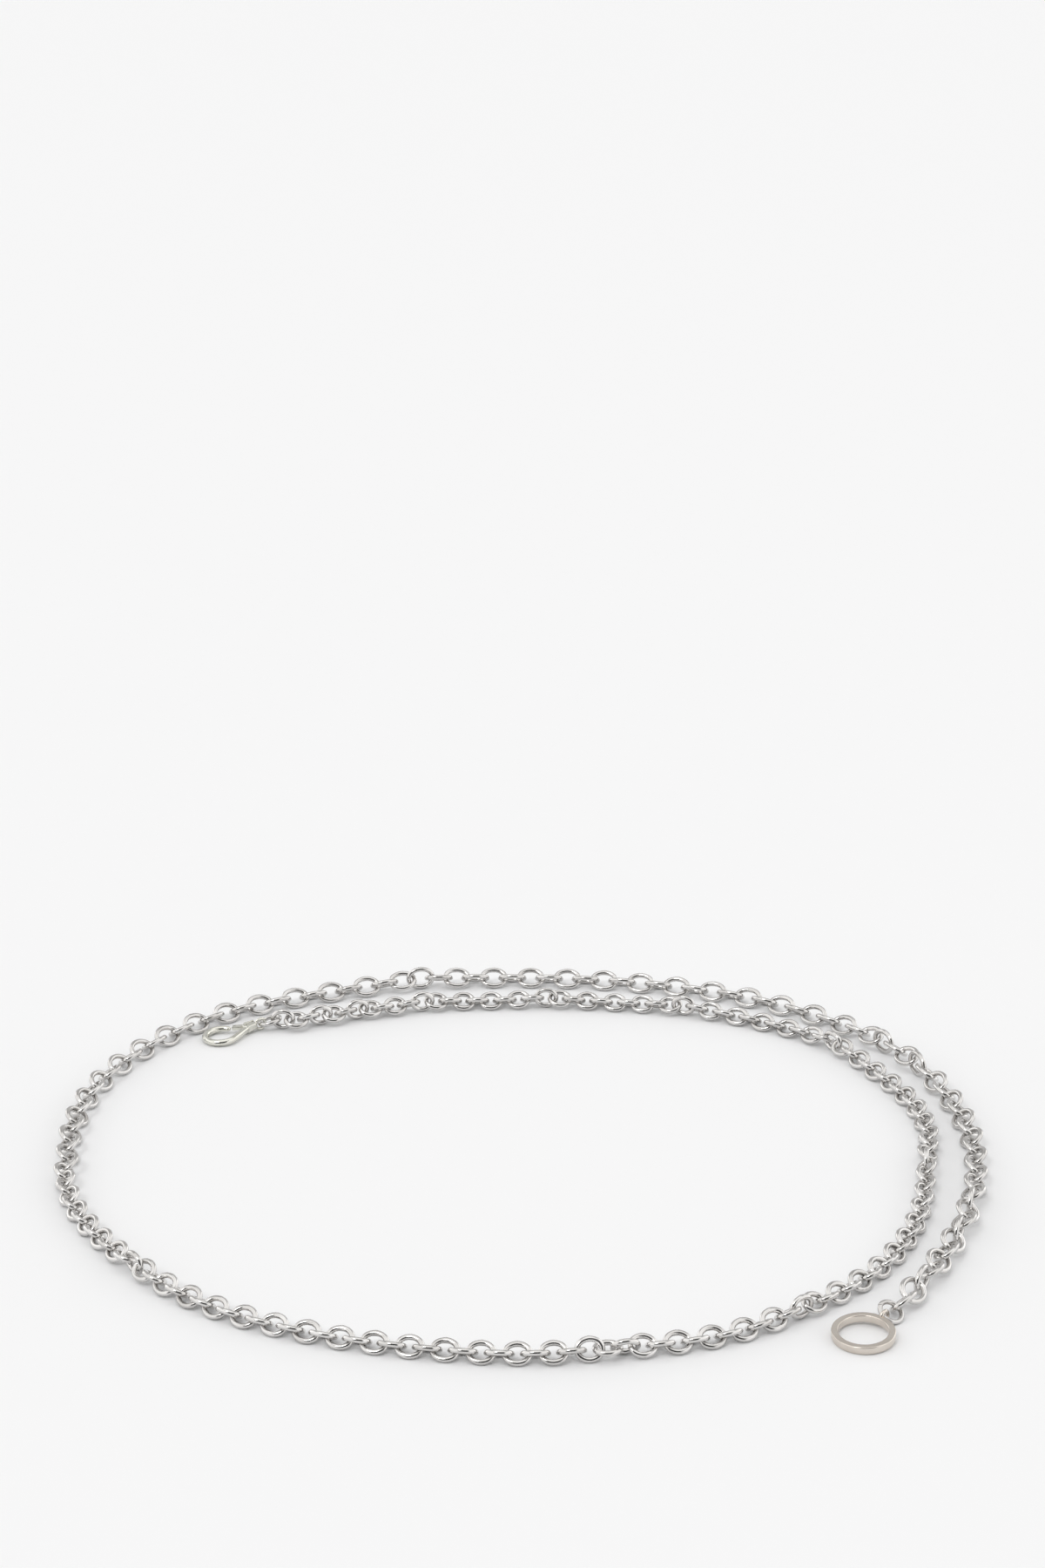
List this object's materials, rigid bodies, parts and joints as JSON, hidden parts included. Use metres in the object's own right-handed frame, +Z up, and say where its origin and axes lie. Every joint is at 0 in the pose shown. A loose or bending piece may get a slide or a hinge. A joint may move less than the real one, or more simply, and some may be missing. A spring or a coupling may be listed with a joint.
{
  "type": "waist chain",
  "caption": "Metal waist chain of oval links in two sizes, with a lobster clasp at one end and a plain ring pendant at the other.",
  "frame": {"origin": "on the surface the chain lies on, under the middle of the laid-out chain's bounding box", "axes": "+Z up from the surface, +X to the right along the loop's longer way, +Y away from the viewer"},
  "size_m": [0.2578, 0.2297, 0.0074],
  "materials": {
    "chain_steel": "polished",
    "clasp_steel": "polished",
    "pendant_steel": "polished"
  },
  "bodies": {
    "chain": {"chain_small_links": "chain_steel", "chain_large_links": "chain_steel", "clasp_body": "clasp_steel", "pendant_jump_ring": "chain_steel", "pendant_ring": "pendant_steel"},
    "lever": {"clasp_lever": "clasp_steel"}
  },
  "joints": [
    {"name": "clasp_lever_hinge", "type": "hinge", "parent": "chain", "child": "lever", "pos_m": [-0.08313, 0.07595, 0.00181], "axis": [-0.0506, -0.0315, 0.9982], "range_deg": [0, 22], "stiffness_Nm_per_rad": 0.004, "springref_deg": -17.19}
  ]
}
